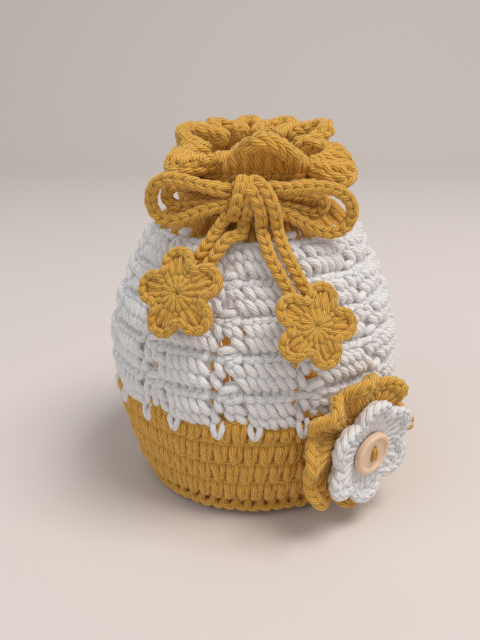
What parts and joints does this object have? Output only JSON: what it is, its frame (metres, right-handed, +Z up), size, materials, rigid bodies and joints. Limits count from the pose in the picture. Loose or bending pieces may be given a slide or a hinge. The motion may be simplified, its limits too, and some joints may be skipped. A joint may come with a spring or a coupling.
{
  "type": "drawstring dice bag",
  "caption": "Crocheted drawstring pouch with a cup-shaped base, lace body, gathered frilled neck, chain cord tied in a bow with flower ends, and a sewn-on flower with a button.",
  "frame": {"origin": "middle of the flat underside of the base", "axes": "+Z up through the mouth, -Y towards the bow at the front, +X to the right as the bow is seen"},
  "size_m": [0.111, 0.1161, 0.1318],
  "materials": {
    "mustard_yarn": "soft plied mustard yarn, crocheted, matte with a slight fuzz",
    "cream_yarn": "soft plied off-white yarn, crocheted, matte with a slight fuzz",
    "button_wood": "pale turned wood with fine grain, satin"
  },
  "bodies": {
    "bag": {"base_cup": "mustard_yarn", "eyelet_band": "mustard_yarn", "frill": "mustard_yarn", "neck_strand_lower": "mustard_yarn", "neck_strand_upper": "mustard_yarn", "bow_knot": "mustard_yarn", "applique_ruffle": "mustard_yarn", "button_thread": "mustard_yarn", "applique_stitches": "mustard_yarn", "lace_body": "cream_yarn", "applique_blossom": "cream_yarn", "applique_button": "button_wood"},
    "left_loop": {"left_loop_outer": "mustard_yarn", "left_loop_inner": "mustard_yarn"},
    "right_loop": {"right_loop_outer": "mustard_yarn", "right_loop_inner": "mustard_yarn"},
    "left_tail": {"left_tail_outer": "mustard_yarn", "left_tail_inner": "mustard_yarn", "left_tail_flower": "mustard_yarn"},
    "right_tail": {"right_tail_outer": "mustard_yarn", "right_tail_inner": "mustard_yarn", "right_tail_flower": "mustard_yarn"}
  },
  "joints": [
    {"name": "left_loop_lift", "type": "hinge", "parent": "bag", "child": "left_loop", "pos_m": [-0.0115, -0.0342, 0.10985], "axis": [0, 1, 0], "range_deg": [0, 20]},
    {"name": "right_loop_lift", "type": "hinge", "parent": "bag", "child": "right_loop", "pos_m": [0.0055, -0.0342, 0.10985], "axis": [0, -1, 0], "range_deg": [0, 20]},
    {"name": "left_tail_swing", "type": "hinge", "parent": "bag", "child": "left_tail", "pos_m": [-0.00725, -0.0364, 0.10045], "axis": [-1, 0, 0], "range_deg": [0, 50]},
    {"name": "right_tail_swing", "type": "hinge", "parent": "bag", "child": "right_tail", "pos_m": [0.0045, -0.0364, 0.10045], "axis": [-1, 0, 0], "range_deg": [0, 50]}
  ]
}
